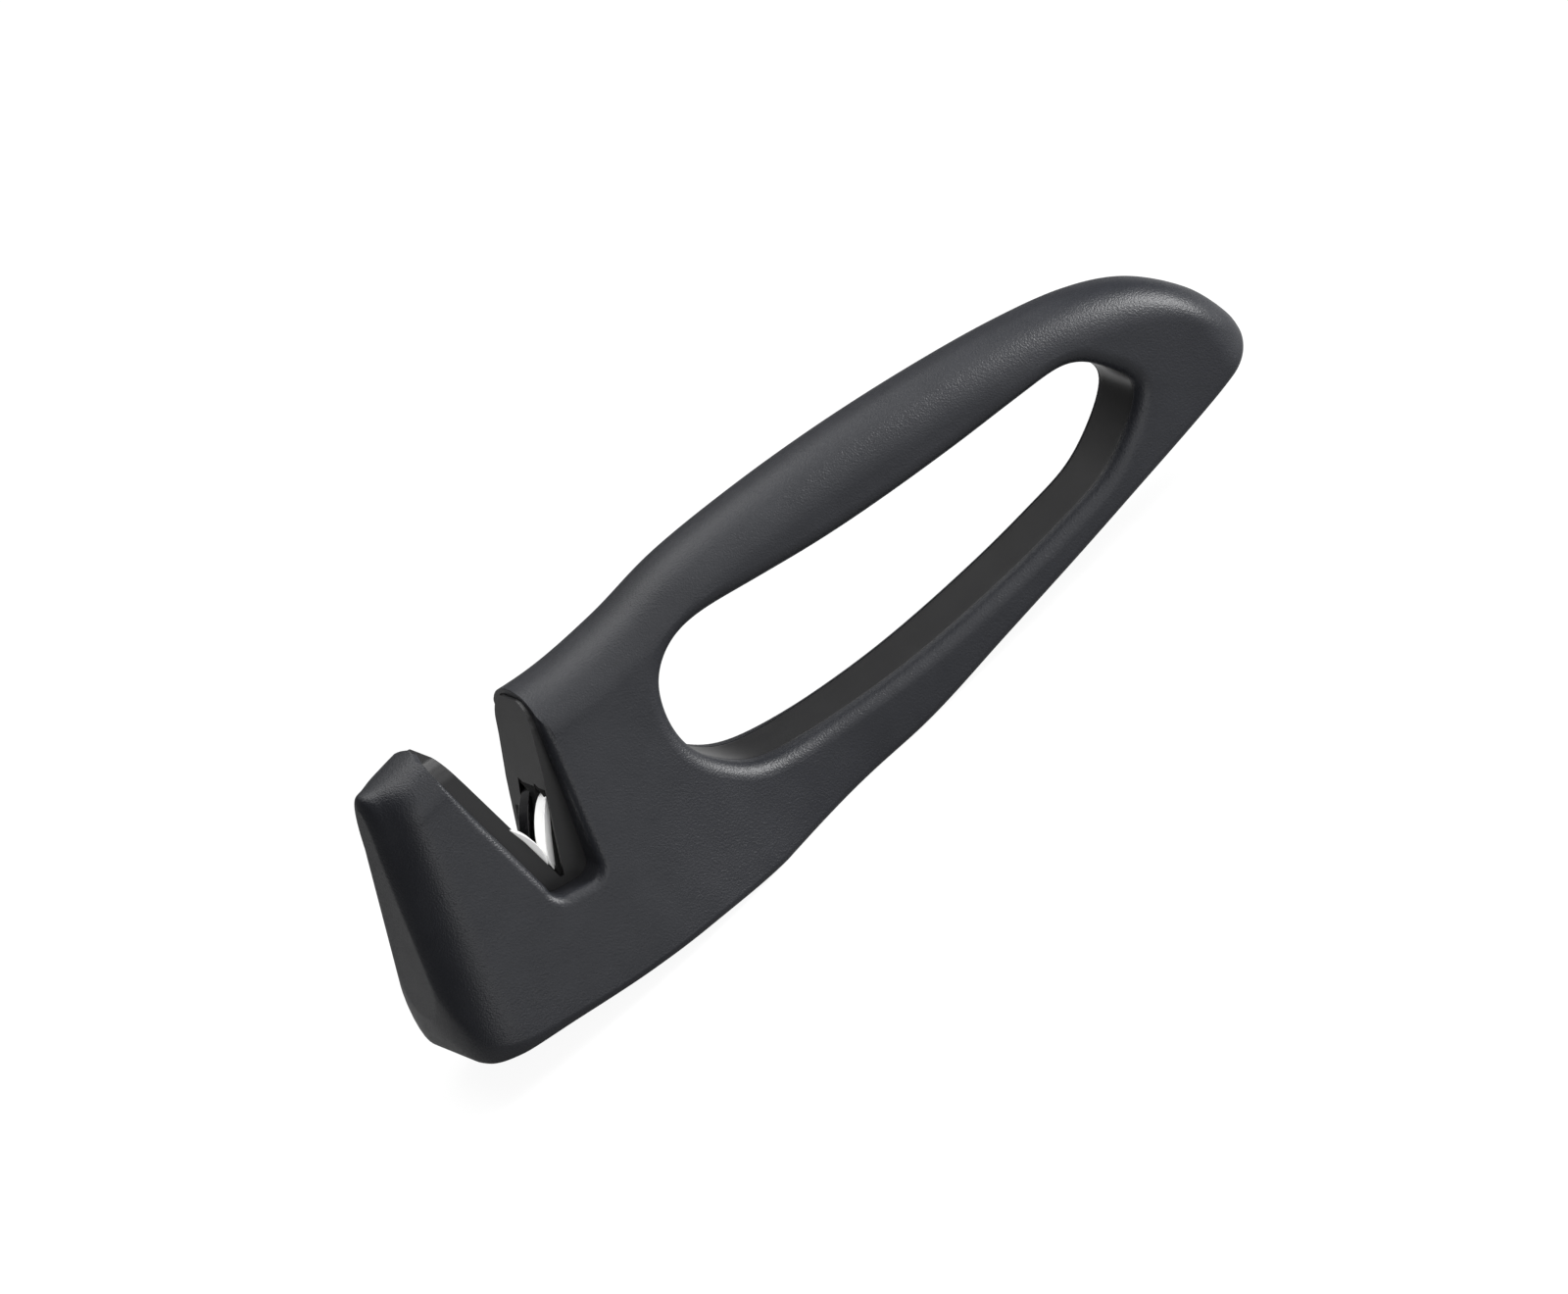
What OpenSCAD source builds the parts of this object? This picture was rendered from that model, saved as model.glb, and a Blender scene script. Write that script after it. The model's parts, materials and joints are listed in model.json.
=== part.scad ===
// Hand-held kitchen knife sharpener with a loop handle.
// Two moulded covers close over a smooth inner frame. A guide block with a
// V slot stands in the head, and four conical rollers on slanting steel axles
// reach into the slot: a white ceramic pair in front, a black pair behind.
//
// Millimetres, +Z up. The origin is on the table, under the middle of the
// length. +X runs from the head to the tail, and -Y is the front.

/* [Body] */
// Overall length from the head end to the tail
body_length = 198; // [180:1:210]
// Overall height with the base on the table
body_height = 60; // [56:0.5:64]
// Thickness of the head at the table
head_width = 42.6; // [40:0.2:46]
// Thickness of the head's top, where its leaning sides meet the crown's height
head_top_width = 18.18572; // [17:0.00001:22]
// Thickness of the handle where it leaves the head
grip_width = 27; // [25.4:0.2:30]
// Thickness of the handle at the tail
tail_width = 24; // [23.6:0.2:27]
// Wall thickness of the two covers
wall = 2.2; // [1.8:0.1:2.4]
// Radius of the upright edges at the head end
head_edge_r = 9; // [7:0.5:11]
// Radius of the nose at the tail, seen from above
tail_edge_r = 8; // [6:0.5:9]
// Radius of the edge along the base
base_edge_r = 1.6; // [1:0.1:2.2]
// Height of the rounding along the top edge
crown_rise = 9; // [7:0.5:10]

/* [Finger hole and slot] */
// Radius of the rolled lip round the finger hole and the slot
lip_r = 1.8; // [1:0.1:2.2]
// Half the opening angle of the V that guides the blade
v_half_angle = 18.3; // [16:0.1:20]
// Lean of the slot towards the tail
slot_lean = 9; // [7:0.5:10]
// Half width of the covers' slot at its floor
mouth_half = 6.8; // [6.4:0.1:7.4]
// Angle by which each side of the covers' slot opens upwards
mouth_flare = 7.6; // [6.6:0.2:8.2]
// Corner radius of the covers' slot floor
mouth_corner_r = 3; // [2:0.2:4]

/* [Inner frame] */
// Thickness of the inner frame
core_thickness = 19; // [18:0.2:19.4]
// Width of the inner frame's band below the finger hole
band_drop = 2.7; // [2.6:0.1:3.2]

/* [Guide block] */
// Thickness of the guide block
guide_thickness = 19; // [18.6:0.1:19.4]
// Half width of the guide block
guide_half = 15.6; // [15.2:0.2:16.4]
// Height of the guide block above the bottom of the V
guide_rise = 31; // [29.5:0.5:31.5]
// Depth of the guide block below the bottom of the V
guide_drop = 6.5; // [6:0.1:7.2]
// Thickness of the posts left in front of and behind the rollers
guide_post = 1.6; // [1.4:0.1:2]

/* [Rollers] */
// Radius of a roller at its large face
roller_r = 7.4; // [7:0.1:7.6]
// Radius of a roller at its small face
roller_small_r = 5.4; // [5:0.1:5.6]
// Thickness of a roller
roller_t = 2.6; // [2.2:0.1:2.7]
// Angle by which the axles turn away from square to the slot
roller_toe = 40; // [38:1:42]
// Distance from the slot's middle to the centre of a roller's large face
roller_offset = 5.9; // [5.8:0.1:6.2]
// Height of the roller centres above the bottom of the V
roller_rise = 7.3; // [6.8:0.1:7.8]
// Distance along the slot from the front rollers to the rear rollers
roller_pitch = 7.4; // [7.2:0.1:7.6]
// Diameter of the steel axles
axle_d = 3; // [2.4:0.1:3.2]

/* [Hidden] */

// Clearances and one overrun for every cut
seat_gap = 0.15;
run_gap = 0.05;
cut = 1;
// A lip's roll ends this far below the side, so that its edge is cut cleanly
lip_sink = 0.06;

// The silhouette, as shares of length and height, in sections from the head
// end to the tail: where each section meets the base and the top.
base_shares = [[0.001, 0.296], [0.003, 0.220], [0.015, 0.150], [0.040, 0.110],
    [0.095, 0.072], [0.175, 0.036], [0.261, 0], [0.347, 0], [0.438, 0],
    [0.540, 0.022], [0.642, 0.055], [0.745, 0.095], [0.832, 0.138],
    [0.899, 0.177], [0.950, 0.208], [0.979, 0.230], [0.996, 0.258]];
top_shares = [[0.066, 0.955], [0.074, 0.982], [0.087, 0.996], [0.108, 1],
    [0.152, 0.987], [0.207, 0.959], [0.283, 0.931], [0.361, 0.932],
    [0.440, 0.950], [0.536, 0.926], [0.636, 0.880], [0.737, 0.828],
    [0.826, 0.757], [0.896, 0.685], [0.947, 0.590], [0.984, 0.440],
    [1, 0.300]];
// The finger hole, round from its corner nearest the slot
hole_shares = [[0.341, 0.585], [0.356, 0.700], [0.386, 0.778], [0.424, 0.790],
    [0.485, 0.745], [0.553, 0.684], [0.626, 0.640], [0.713, 0.616],
    [0.786, 0.611], [0.842, 0.578], [0.873, 0.480], [0.868, 0.365],
    [0.812, 0.262], [0.751, 0.218], [0.667, 0.191], [0.563, 0.189],
    [0.468, 0.224], [0.395, 0.290], [0.356, 0.368], [0.338, 0.467]];
// The top of the inner frame, from the head to the tail
core_top_shares = [[0.075, 0.700], [0.130, 0.735], [0.250, 0.735],
    [0.330, 0.810], [0.400, 0.850], [0.460, 0.850], [0.536, 0.815],
    [0.636, 0.765], [0.737, 0.720], [0.826, 0.665], [0.880, 0.600],
    [0.905, 0.500]];
// Where the slot's V comes to a point
vertex_share = [0.168, 0.407];
// Where the head's taper hands over to the handle's
blend_shares = [0.20, 0.48];
// Where the covers are pegged together: head, beside the slot, tail
peg_shares = [[0.085, 0.290], [0.270, 0.330], [0.930, 0.420]];

steps = 3;
rim_steps = 4;
crown_steps = 7;

vertex = [
    (vertex_share[0] - 0.5) * body_length,
    vertex_share[1] * body_height];
core_half = core_thickness / 2;
guide_half_t = guide_thickness / 2;
peg_d = 5;
peg_r = peg_d / 2;
socket_d = 9;

// Smooth curves through hand-placed points
function at(p) = [(p[0] - 0.5) * body_length, p[1] * body_height];
function near(pts, i) = pts[max(0, min(len(pts) - 1, i))];
function ring(pts, i) = pts[(i + len(pts)) % len(pts)];
function spline(a, b, c, d, t) =
    (2 * b + (c - a) * t + (2 * a - 5 * b + 4 * c - d) * t * t
    + (3 * b - a - 3 * c + d) * t * t * t) / 2;
function open_curve(pts, u) =
    let (i = min(floor(u), len(pts) - 2), t = u - i)
    spline(near(pts, i - 1), near(pts, i), near(pts, i + 1), near(pts, i + 2), t);
function closed_curve(pts, n) =
    [for (i = [0 : len(pts) - 1], k = [0 : n - 1])
        spline(ring(pts, i - 1), ring(pts, i), ring(pts, i + 1),
            ring(pts, i + 2), k / n)];
function unit(v) = v / norm(v);
function left_of(v) = [-v[1], v[0]];
function ease(t) = let (s = max(0, min(1, t))) s * s * (3 - 2 * s);

// Half thickness of the body at a point of its side view
function head_half(p) =
    (head_width + (head_top_width - head_width) * p[1] / body_height) / 2;
function grip_half(p) =
    let (s = max(0, min(1, p[0] / body_length + 0.5)))
    (grip_width + (tail_width - grip_width) * s) / 2;
function side_half(p) =
    let (s = p[0] / body_length + 0.5)
    let (t = ease((s - blend_shares[0]) / (blend_shares[1] - blend_shares[0])))
    head_half(p) * (1 - t) + grip_half(p) * t;

// A section of the body, from the base to the top on one side of the seam
function base_at(u) = let (p = at(open_curve(base_shares, u))) [p[0], max(0, p[1])];
function top_at(u) = at(open_curve(top_shares, u));
function mid_x(u) = (base_at(u)[0] + top_at(u)[0]) / 2;
function rolled(d, r) = d >= r ? 0 : r - sqrt(r * r - (r - d) * (r - d));
function end_loss(u) =
    rolled(mid_x(u) - mid_x(0), head_edge_r)
    + rolled(mid_x(len(base_shares) - 1) - mid_x(u), tail_edge_r);
function section(u, inset) =
    let (b = base_at(u), t = top_at(u), up = unit(t - b))
    let (low = b + up * inset, high = t - up * inset, span = norm(high - low))
    let (rb = min(max(base_edge_r - inset / 2, base_edge_r / 4), span / 3))
    let (rt = min(crown_rise, span * 0.6))
    let (loss = end_loss(u) + inset)
    let (low_side = low + up * rb, high_side = high - up * rt)
    let (wb = side_half(low_side) - loss, wt = side_half(high_side) - loss)
    concat(
        [[low[0], 0, low[1]]],
        [for (k = [0 : rim_steps])
            let (a = 90 * k / rim_steps, p = low + up * rb * (1 - cos(a)))
            [p[0], -(wb - rb * (1 - sin(a))), p[1]]],
        [let (p = (low_side + high_side) / 2)
            [p[0], -(side_half(p) - loss), p[1]]],
        [for (k = [0 : crown_steps - 1])
            let (a = 90 * k / crown_steps, p = high_side + up * rt * sin(a))
            [p[0], -wt * pow(cos(a), 0.8), p[1]]],
        [[high[0], 0, high[1]]]);

// One half of the body, as a loft through its sections
module half_body(first, last, inset) {
    count = round((last - first) * steps);
    rows = [for (i = [0 : count]) section(first + i / steps, inset)];
    n = len(rows[0]);
    points = [for (row = rows, p = row) p];
    sides = [for (i = [0 : count - 1], j = [0 : n - 1])
        let (k = (j + 1) % n)
        each [[i * n + j, i * n + k, (i + 1) * n + j],
            [i * n + k, (i + 1) * n + k, (i + 1) * n + j]]];
    caps = [[for (j = [n - 1 : -1 : 0]) j],
        [for (j = [0 : n - 1]) count * n + j]];
    polyhedron(points, concat(sides, caps), convexity = 8);
}

// Outlines in the side view
function hole_line() = [for (p = closed_curve(hole_shares, 3)) at(p)];
function grown(pts, d) =
    [for (i = [0 : len(pts) - 1])
        pts[i] + unit(left_of(ring(pts, i + 1) - ring(pts, i - 1))) * d];
function in_slot(p) =
    vertex + [p[0] * cos(slot_lean) + p[1] * sin(slot_lean),
        p[1] * cos(slot_lean) - p[0] * sin(slot_lean)];
mouth_top = body_height;
function mouth_half_at(w) = mouth_half + w * tan(mouth_flare);
function mouth_line() = concat(
    [[mouth_half_at(mouth_top), mouth_top]],
    [for (a = [360 : -18 : 270])
        [mouth_half - mouth_corner_r * (1 - cos(a)), mouth_corner_r * (1 + sin(a))]],
    [for (a = [270 : -18 : 180])
        [-mouth_half + mouth_corner_r * (1 + cos(a)), mouth_corner_r * (1 + sin(a))]],
    [[-mouth_half_at(mouth_top), mouth_top]]);
function mouth_line_in_body() = [for (p = mouth_line()) in_slot(p)];

// Draws a side-view outline through the body's thickness
module across(from, to) {
    translate([0, to, 0])
        rotate([90, 0, 0])
            linear_extrude(height = to - from)
                children();
}

// A through cut whose rim is rolled over the side of the body
module rolled_cut(line) {
    n = len(line);
    levels = [for (k = [0 : rim_steps])
        let (a = 90 * k / rim_steps)
        [lip_r * (1 - cos(a)), lip_r * (1 - sin(a))]];
    rings = concat(
        [[for (p = line) [p[0], cut, p[1]]]],
        [for (level = levels)
            let (out = grown(line, level[0]))
            [for (p = out) [p[0], level[1] + lip_sink - side_half(p), p[1]]]],
        [let (out = grown(line, lip_r))
            [for (p = out) [p[0], -head_width, p[1]]]]);
    points = [for (r = rings, p = r) p];
    sides = [for (i = [0 : len(rings) - 2], j = [0 : n - 1])
        let (k = (j + 1) % n)
        each [[i * n + j, i * n + k, (i + 1) * n + j],
            [i * n + k, (i + 1) * n + k, (i + 1) * n + j]]];
    last = (len(rings) - 1) * n;
    caps = [[for (j = [n - 1 : -1 : 0]) j], [for (j = [0 : n - 1]) last + j]];
    polyhedron(points, concat(sides, caps), convexity = 8);
}

// The guide block's outline seen along the length, with room round it
module tongue_outline(room) {
    shoulder = guide_half_t;
    tip_r = guide_half_t * 0.6;
    hull() {
        translate([-shoulder - room, -guide_drop - room])
            square([2 * (shoulder + room), guide_rise / 2 + guide_drop]);
        for (side = [-1, 1])
            translate([side * (guide_half_t * 0.78 - tip_r), guide_rise - tip_r])
                circle(r = tip_r + room, $fn = 32);
    }
}

module in_slot_place() {
    translate([vertex[0], 0, vertex[1]])
        rotate([0, slot_lean, 0])
            children();
}

module guide_envelope(room) {
    in_slot_place()
        translate([-guide_half - room, 0, 0])
            rotate([90, 0, 90])
                linear_extrude(height = 2 * (guide_half + room))
                    tongue_outline(room);
}

// Pegs and sockets that hold the covers together
module pegs(radius, from, to) {
    for (s = peg_shares)
        translate([at(s)[0], to, at(s)[1]])
            rotate([90, 0, 0])
                cylinder(r = radius, h = to - from, $fn = 24);
}

inner_first = 2.4;
inner_last = 14.6;

// The hollow of a cover: the inner loft, less the skirts that reach inwards
// round the finger hole and the slot, and less the peg bosses
module cover_hollow() {
    difference() {
        half_body(inner_first, inner_last, wall);
        across(-head_width, -core_half - seat_gap)
            polygon(grown(hole_line(), wall));
        across(-head_width, cut)
            polygon(grown(mouth_line_in_body(), wall + lip_r));
        pegs(socket_d / 2, -head_width, -core_half - seat_gap);
        guide_envelope(wall);
    }
}

module front_shell() {
    difference() {
        half_body(0, len(base_shares) - 1, 0);
        cover_hollow();
        rolled_cut(hole_line());
        rolled_cut(mouth_line_in_body());
        guide_envelope(seat_gap);
        core_room();
    }
}

// Room for the inner frame between the two covers
module core_room() {
    across(-core_half - seat_gap, cut)
        offset(delta = seat_gap)
            core_outline();
}

module core_outline() {
    last = len(base_shares) - 1;
    first_u = 2.2;
    last_u = 13;
    base_line = [for (u = [first_u : 1 / steps : last_u])
        let (b = base_at(u), t = top_at(u)) b + unit(t - b) * band_drop];
    top_line = [for (u = [len(core_top_shares) - 1 : -1 / 2 : 0])
        at(open_curve(core_top_shares, u))];
    difference() {
        polygon(concat(base_line, top_line));
        polygon(hole_line());
    }
}

module front_cover() {
    color("#26282c")
        resize([body_length, 0, 0])
            union() {
                front_shell();
                pegs(peg_r, -core_half - wall, 0);
            }
}

module back_cover() {
    color("#26282c")
        resize([body_length, 0, 0])
            mirror([0, 1, 0])
                union() {
                    front_shell();
                    pegs(peg_r, -core_half - wall, 0);
                }
}

// Smooth frame between the covers, seen as the wall of the finger hole
module core_frame() {
    color("#3a3b3d")
        difference() {
            across(-core_half, core_half)
                core_outline();
            in_slot_place()
                translate([-guide_half - seat_gap, -core_thickness, -guide_drop - seat_gap])
                    cube([2 * (guide_half + seat_gap), 2 * core_thickness, body_height]);
            pegs(peg_r + seat_gap, -core_thickness, core_thickness);
        }
}

// The V that the blade drops into, cut to a small flat at its bottom
v_floor = 0.8;
window_top = 16.2;
window_floor = -3.4;
cavity_half_t = guide_half_t - guide_post;
module v_cut() {
    top = body_height;
    across(-guide_thickness, guide_thickness)
        polygon([[-v_floor / 2, 0], [v_floor / 2, 0],
            [v_floor / 2 + top * tan(v_half_angle), top],
            [-v_floor / 2 - top * tan(v_half_angle), top]]);
}

module slot_guide() {
    color("#343537")
        in_slot_place()
            difference() {
                intersection() {
                    translate([-guide_half, 0, 0])
                        rotate([90, 0, 90])
                            linear_extrude(height = 2 * guide_half)
                                tongue_outline(0);
                    translate([-guide_half, -guide_thickness, -guide_drop])
                        cube([2 * guide_half, 2 * guide_thickness, body_height]);
                }
                v_cut();
                translate([-guide_half - cut, -cavity_half_t, window_floor])
                    cube([2 * (guide_half + cut), 2 * cavity_half_t, window_top - window_floor]);
                for (side = [-1, 1], y = [front_y, rear_y])
                    roller_pocket(side, y);
            }
}

// Where a roller sits: side is -1 for left, 1 for right
front_y = -roller_pitch / 2;
rear_y = roller_pitch / 2;
module roller_place(side, y) {
    translate([side * roller_offset, y, roller_rise])
        rotate([0, 0, -side * roller_toe])
            rotate([0, side * (90 + v_half_angle), 0])
                children();
}

// How far an axle runs past its roller, where it is free and where the next
// roller lies behind or in front of it
axle_long = 2.8;
axle_short = 1.1;
pocket_gap = 0.3;
function axle_in(y) = y < 0 ? axle_short : axle_long;
function axle_out(y) = y < 0 ? axle_long : axle_short;
module roller(side, y, shade) {
    color(shade)
        in_slot_place()
            roller_place(side, y)
                difference() {
                    translate([0, 0, -roller_t])
                        cylinder(r1 = roller_small_r, r2 = roller_r, h = roller_t, $fn = 64);
                    translate([0, 0, -roller_t - cut])
                        cylinder(d = axle_d + 2 * run_gap, h = roller_t + 2 * cut, $fn = 48);
                }
}

module axle(side, y) {
    color("#b9bcc0")
        in_slot_place()
            roller_place(side, y)
                translate([0, 0, -roller_t - axle_in(y)])
                    cylinder(d = axle_d, h = roller_t + axle_in(y) + axle_out(y), $fn = 48);
}

module roller_pocket(side, y) {
    roller_place(side, y)
        translate([0, 0, -roller_t - pocket_gap])
            cylinder(r = roller_r + pocket_gap, h = roller_t + 2 * pocket_gap, $fn = 64);
}

module axle_hole(side, y) {
    roller_place(side, y)
        translate([0, 0, -roller_t - axle_in(y)])
            cylinder(d = axle_d, h = roller_t + axle_in(y) + axle_out(y), $fn = 48);
}

// Block that carries one side's two axles behind the guide's wall
module carrier(side) {
    half_t = cavity_half_t - seat_gap;
    low = window_floor + seat_gap;
    high = window_top - seat_gap;
    face = v_floor / 2 + seat_gap;
    color("#2c2d2f")
        in_slot_place()
            difference() {
                across(-half_t, half_t)
                    polygon([[side * face, low], [side * guide_half, low],
                        [side * guide_half, high],
                        [side * (face + high * tan(v_half_angle)), high],
                        [side * face, 0]]);
                for (y = [front_y, rear_y]) {
                    roller_pocket(side, y);
                    axle_hole(side, y);
                }
            }
}

module left_carrier() { carrier(-1); }
module right_carrier() { carrier(1); }
module front_left_roller() { roller(-1, front_y, "#f4f4f0"); }
module front_right_roller() { roller(1, front_y, "#f4f4f0"); }
module rear_left_roller() { roller(-1, rear_y, "#1b1c1e"); }
module rear_right_roller() { roller(1, rear_y, "#1b1c1e"); }
module front_left_axle() { axle(-1, front_y); }
module front_right_axle() { axle(1, front_y); }
module rear_left_axle() { axle(-1, rear_y); }
module rear_right_axle() { axle(1, rear_y); }

washer_t = 0.2;
module roller_washers() {
    color("#c9ccd0")
        in_slot_place()
            for (side = [-1, 1], y = [front_y, rear_y])
                roller_place(side, y)
                    translate([0, 0, (pocket_gap - washer_t) / 2])
                        difference() {
                            cylinder(d = axle_d * 2, h = washer_t, $fn = 48);
                            translate([0, 0, -cut])
                                cylinder(d = axle_d, h = 2 * cut + washer_t, $fn = 48);
                        }
}

front_cover();
back_cover();
core_frame();
slot_guide();
left_carrier();
right_carrier();
front_left_roller();
front_right_roller();
rear_left_roller();
rear_right_roller();
front_left_axle();
front_right_axle();
rear_left_axle();
rear_right_axle();
roller_washers();
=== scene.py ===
# %% [markdown]
# # A knife sharpener with a loop handle
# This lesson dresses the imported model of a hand-held knife sharpener. The model
# comes in as a frame of separate pieces, in metres. The covers, the smooth band
# in the finger hole, the guide block, the rollers and the ends of their axles
# are modelled again here with finer surfaces, in the same place, and every piece
# gets a finish. +X runs from the head to the tail, and -Y is the front.

# %% Load the frame
import json
import math

import bmesh
import bpy
from mathutils import Matrix, Vector


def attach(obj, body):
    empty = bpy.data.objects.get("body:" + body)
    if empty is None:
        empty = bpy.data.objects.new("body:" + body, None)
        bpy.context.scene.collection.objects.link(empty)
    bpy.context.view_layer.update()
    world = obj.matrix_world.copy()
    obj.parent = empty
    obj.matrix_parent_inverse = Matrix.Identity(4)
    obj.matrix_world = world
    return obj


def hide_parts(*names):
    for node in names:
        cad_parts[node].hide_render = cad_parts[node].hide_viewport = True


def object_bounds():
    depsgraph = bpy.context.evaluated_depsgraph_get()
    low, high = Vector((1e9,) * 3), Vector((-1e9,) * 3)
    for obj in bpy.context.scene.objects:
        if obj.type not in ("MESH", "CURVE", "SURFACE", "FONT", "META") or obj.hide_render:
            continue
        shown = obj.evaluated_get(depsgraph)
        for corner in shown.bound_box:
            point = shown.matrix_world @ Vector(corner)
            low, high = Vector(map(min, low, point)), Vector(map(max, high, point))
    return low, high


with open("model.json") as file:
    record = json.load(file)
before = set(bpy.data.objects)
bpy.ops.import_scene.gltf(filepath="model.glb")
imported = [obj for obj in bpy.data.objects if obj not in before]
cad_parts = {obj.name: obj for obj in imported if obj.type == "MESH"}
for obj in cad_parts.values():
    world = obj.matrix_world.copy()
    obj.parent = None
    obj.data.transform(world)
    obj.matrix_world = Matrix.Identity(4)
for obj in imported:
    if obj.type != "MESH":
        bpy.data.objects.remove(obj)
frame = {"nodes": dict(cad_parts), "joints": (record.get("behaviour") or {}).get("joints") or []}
nodes = frame["nodes"]
cad_low, cad_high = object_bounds()
MM = 0.001

# %% [markdown]
# ## The driving sizes
# These are the sizes of the real housing in millimetres, as worked out from the
# photograph. The last line prints them beside the frame's own box, because the
# fine surfaces below have to stay inside it to stay with the frame's pieces.

# %% Sizes of the housing
length, height = 197.8, 59.0
head_width, head_top_width = 42.6, 18.2
grip_width, tail_width = 22.6, 20.4
head_edge_r, tail_edge_r = 9.0, 8.0
base_edge_r, crown_rise = 1.6, 9.0
# the foot of the head is rounder than the rest of the base, over a few sections
corner_edge_r, corner_sections = 7.0, 5
lip_r, hole_lip_r = 1.8, 3.0
core_thickness, guide_thickness = 15.0, 19.0
seat_gap, cut_overrun = 0.15, 1.0
room_x, room_z = (cad_high.x - cad_low.x) / MM, (cad_high.z - cad_low.z) / MM
print(f"length {length:.1f} of {room_x:.1f} mm, height {height:.1f} of {room_z:.1f} mm")

# %% [markdown]
# ## The silhouette
# A moulded housing like this is drawn as two long curves in the side view, the
# base and the top, joined by sections. Each pair below says where one section
# meets them, as shares of the length and the height. A smooth curve through a
# few given points keeps the surface fair, where many points would ripple.

# %% Outline shares
base_shares = [(0.002, 0.3), (0, 0.225), (0.006, 0.143), (0.034, 0.114),
               (0.0921, 0.092), (0.1722, 0.057), (0.2583, 0.03), (0.3443, 0),
               (0.4354, 0), (0.5375, 0.003), (0.6396, 0.041), (0.7427, 0.081),
               (0.8298, 0.119), (0.8969, 0.149), (0.9489, 0.177), (0.98, 0.205),
               (0.998, 0.239)]
top_shares = [(0.0661, 0.96), (0.0741, 0.991), (0.0881, 0.991), (0.1081, 0.993),
              (0.1491, 0.999), (0.2042, 0.959), (0.2803, 0.917), (0.3584, 0.917),
              (0.4374, 0.941), (0.5335, 0.928), (0.6336, 0.893), (0.7347, 0.838),
              (0.8238, 0.773), (0.8939, 0.699), (0.9459, 0.6), (0.984, 0.453),
              (1, 0.31)]
hole_shares = [(0.339, 0.588), (0.354, 0.693), (0.383, 0.756), (0.421, 0.767),
               (0.482, 0.727), (0.551, 0.681), (0.624, 0.646), (0.711, 0.616),
               (0.784, 0.598), (0.84, 0.574), (0.869, 0.479), (0.879, 0.358),
               (0.816, 0.228), (0.751, 0.195), (0.665, 0.178), (0.561, 0.18),
               (0.465, 0.214), (0.39, 0.27), (0.354, 0.373), (0.338, 0.477)]
vertex_share = (0.1652, 0.414)
last_u = len(base_shares) - 1
print("sections:", len(base_shares), "hole points:", len(hole_shares))

# %% [markdown]
# ## Smooth curves through the points
# A curve object could be laid through the points by hand and turned into a mesh.
# Here its points are wanted as numbers, so a Catmull-Rom spline is written out
# in a few lines. It passes through every point, which suits points given one
# by one, and a point of it can be asked for anywhere along its run.


# %% Curve helpers
def at(share):
    return ((share[0] - 0.5) * length, share[1] * height)


def spline(a, b, c, d, t):
    return tuple(
        (2 * b[i] + (c[i] - a[i]) * t + (2 * a[i] - 5 * b[i] + 4 * c[i] - d[i]) * t * t
         + (3 * b[i] - a[i] - 3 * c[i] + d[i]) * t ** 3) / 2
        for i in (0, 1))


def open_curve(pts, u):
    i = min(int(u), len(pts) - 2)
    near = [pts[max(0, min(len(pts) - 1, i + k))] for k in (-1, 0, 1, 2)]
    return at(spline(*near, u - i))


def closed_curve(pts, steps):
    n = len(pts)
    return [at(spline(pts[i - 1], pts[i], pts[(i + 1) % n], pts[(i + 2) % n], k / steps))
            for i in range(n) for k in range(steps)]


print("base starts at", [round(c, 1) for c in open_curve(base_shares, 0)], "mm")

# %% [markdown]
# ## The finger hole's outline
# The hole is one closed curve. Easing moves each point towards the middle of its
# neighbours, which takes out the last small bumps of the listed points.
# The rims further down need the same outline moved outwards, where a share for
# each point can make the move smaller.

# %% Finger hole outline
hole_steps, easing_rounds = 12, 10


def eased(line, rounds):
    for _ in range(rounds):
        line = [tuple((line[i - 1][k] + 2 * line[i][k] + line[(i + 1) % len(line)][k]) / 4
                      for k in (0, 1)) for i in range(len(line))]
    return line


def grown(line, d, fades=None):
    out = []
    for i, (x, z) in enumerate(line):
        ax, az = line[i - 1]
        bx, bz = line[(i + 1) % len(line)]
        size = math.hypot(bx - ax, bz - az)
        step = d * (fades[i] if fades else 1)
        out.append((x - (bz - az) / size * step, z + (bx - ax) / size * step))
    return out


hole_line = eased(closed_curve(hole_shares, hole_steps), easing_rounds)
print("finger hole drawn with", len(hole_line), "points")

# %% [markdown]
# ## How thick the body is
# The head is a wedge, thick at the base and narrow at the top, and the handle is
# nearly even. One small function gives the half thickness at any place of the
# side view. The covers and the rolled lips both ask it, so they always meet.

# %% Half thickness
blend_start_share, blend_end_share = 0.20, 0.48


def clamped(t):
    return max(0.0, min(1.0, t))


def smooth_step(t):
    t = clamped(t)
    return t * t * (3 - 2 * t)


def side_half(x, z):
    share = x / length + 0.5
    t = smooth_step((share - blend_start_share) / (blend_end_share - blend_start_share))
    head = (head_width + (head_top_width - head_width) * z / height) / 2
    grip = (grip_width + (tail_width - grip_width) * clamped(share)) / 2
    return head * (1 - t) + grip * t


print("half thickness at the slot", round(side_half(*at(vertex_share)), 1), "mm")

# %% [markdown]
# ## Skinning rings
# Covers, cutters and the band are all skins over a row of closed rings. By hand
# one would lay the rings out and use Bridge Edge Loops. This helper lays the
# same faces itself, so a long row of rings takes one step. It closes both ends,
# unless the row runs round in a circle, and turns the faces outwards.


# %% Skin helper
def make_active(obj):
    bpy.ops.object.select_all(action="DESELECT")
    bpy.context.view_layer.objects.active = obj
    obj.select_set(True)


def face_outwards(mesh):
    bm = bmesh.new()
    bm.from_mesh(mesh)
    bmesh.ops.recalc_face_normals(bm, faces=bm.faces)
    bm.to_mesh(mesh)
    bm.free()


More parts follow.
